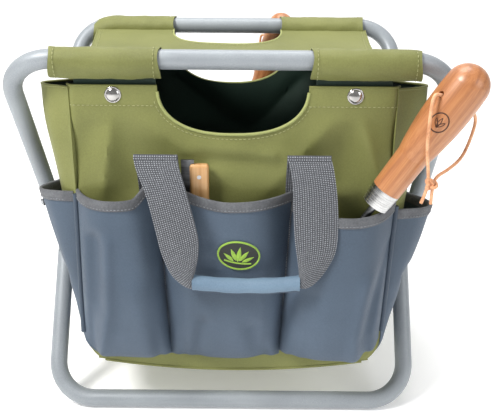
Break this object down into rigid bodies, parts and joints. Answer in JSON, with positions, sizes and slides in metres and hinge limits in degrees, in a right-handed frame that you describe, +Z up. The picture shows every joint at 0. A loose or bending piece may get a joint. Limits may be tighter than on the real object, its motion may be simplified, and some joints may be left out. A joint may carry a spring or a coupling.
{
  "type": "garden tool bag",
  "caption": "Folding crossed-tube stool frame that carries a hanging cloth tool bag with patch pockets, a sling seat and webbing handles, with hand tools in its pockets.",
  "frame": {"origin": "on the ground, in the middle of the open stool, straight under the two leg pivots", "axes": "+X to the right along the bars, +Y from the front pockets to the back, +Z up"},
  "size_m": [0.4426, 0.3611, 0.3822],
  "materials": {
    "frame_paint": "smooth grey enamel",
    "rivet_steel": "plain steel",
    "snap_metal": "polished nickel",
    "olive_cloth": "coated plain-weave polyester",
    "pocket_cloth": "matte blue-grey polyester",
    "binding_tape": "ribbed grey tape",
    "webbing": "grey woven webbing",
    "grip_cloth": "light blue wrap",
    "patch": "embroidered patch",
    "handle_wood": "clear-varnished ash",
    "tool_steel": "satin steel",
    "dark_steel": "dark steel",
    "lace_leather": "tan leather lace"
  },
  "bodies": {
    "bag": {"bag_front_panel": "olive_cloth", "bag_bottom": "olive_cloth", "left_gusset": "olive_cloth", "right_gusset": "olive_cloth", "seat_panel": "olive_cloth", "front_left_sleeve": "olive_cloth", "front_right_sleeve": "olive_cloth", "front_snap_caps": "snap_metal", "front_snap_sockets": "snap_metal", "front_snap_studs": "snap_metal", "front_left_pocket": "pocket_cloth", "front_middle_pocket": "pocket_cloth", "front_right_pocket": "pocket_cloth", "left_side_pocket": "pocket_cloth", "right_side_pocket": "pocket_cloth", "front_pocket_bindings": "binding_tape", "left_side_pocket_binding": "binding_tape", "right_side_pocket_binding": "binding_tape", "front_strap_bases": "webbing", "emblem_patch": "patch"},
    "outer_frame": {"outer_frame_upper_tube": "frame_paint", "outer_frame_lower_tube": "frame_paint", "outer_frame_spigots": "rivet_steel", "pivot_rivets": "rivet_steel", "pivot_spacers": "rivet_steel", "pivot_outer_washers": "rivet_steel", "pivot_inner_washers": "rivet_steel"},
    "inner_frame": {"inner_frame_upper_tube": "frame_paint", "inner_frame_lower_tube": "frame_paint", "inner_frame_spigots": "rivet_steel"},
    "bag_back": {"bag_back_panel": "olive_cloth", "rear_left_sleeve": "olive_cloth", "rear_right_sleeve": "olive_cloth", "rear_snap_caps": "snap_metal", "rear_snap_sockets": "snap_metal", "rear_snap_studs": "snap_metal", "rear_left_pocket": "pocket_cloth", "rear_middle_pocket": "pocket_cloth", "rear_right_pocket": "pocket_cloth", "rear_pocket_bindings": "binding_tape", "rear_strap_bases": "webbing"},
    "front_handle": {"front_handle_webbing": "webbing", "front_grip": "grip_cloth"},
    "rear_handle": {"rear_handle_webbing": "webbing", "rear_grip": "grip_cloth"},
    "trowel": {"trowel_handle": "handle_wood", "trowel_ferrule": "tool_steel", "trowel_blade": "dark_steel", "trowel_thong_left": "lace_leather", "trowel_thong_right": "lace_leather", "trowel_thong_knot": "lace_leather"},
    "hand_fork": {"fork_handle": "handle_wood", "fork_ferrule": "tool_steel", "fork_head": "dark_steel", "fork_thong": "lace_leather", "fork_thong_knot": "lace_leather"},
    "pocket_knife": {"knife_handle": "handle_wood", "knife_blade": "dark_steel", "knife_rivet": "rivet_steel"}
  },
  "joints": [
    {"name": "front_bar_swivel", "type": "hinge", "parent": "bag", "child": "outer_frame", "pos_m": [0, -0.123, 0.37], "axis": [1, 0, 0], "range_deg": [-26.1, 0]},
    {"name": "frame_fold", "type": "hinge", "parent": "outer_frame", "child": "inner_frame", "pos_m": [0, 0, 0.1895], "axis": [1, 0, 0], "range_deg": [0, 52], "deforming": ["seat_panel"]},
    {"name": "bag_closing", "type": "slide", "parent": "bag", "child": "bag_back", "axis": [0, -1, 0], "range_m": [0, 0.1806]},
    {"name": "front_handle_swing", "type": "hinge", "parent": "bag", "child": "front_handle", "pos_m": [0, -0.1495, 0.288], "axis": [-1, 0, 0], "range_deg": [0, 150]},
    {"name": "rear_handle_swing", "type": "hinge", "parent": "bag_back", "child": "rear_handle", "pos_m": [0, 0.1495, 0.288], "axis": [1, 0, 0], "range_deg": [0, 110]},
    {"name": "trowel_lift", "type": "slide", "parent": "bag", "child": "trowel", "axis": [0, 0, 1], "range_m": [0, 0.16]},
    {"name": "fork_lift", "type": "slide", "parent": "bag_back", "child": "hand_fork", "axis": [0, 0, 1], "range_m": [0, 0.09]},
    {"name": "knife_lift", "type": "slide", "parent": "bag", "child": "pocket_knife", "axis": [0, 0, 1], "range_m": [0, 0.075]}
  ],
  "couplings": [
    {"joint": "front_bar_swivel", "follows": "frame_fold", "ratio": -0.5},
    {"joint": "bag_closing", "follows": "frame_fold", "m_per_rad": 0.1988}
  ]
}
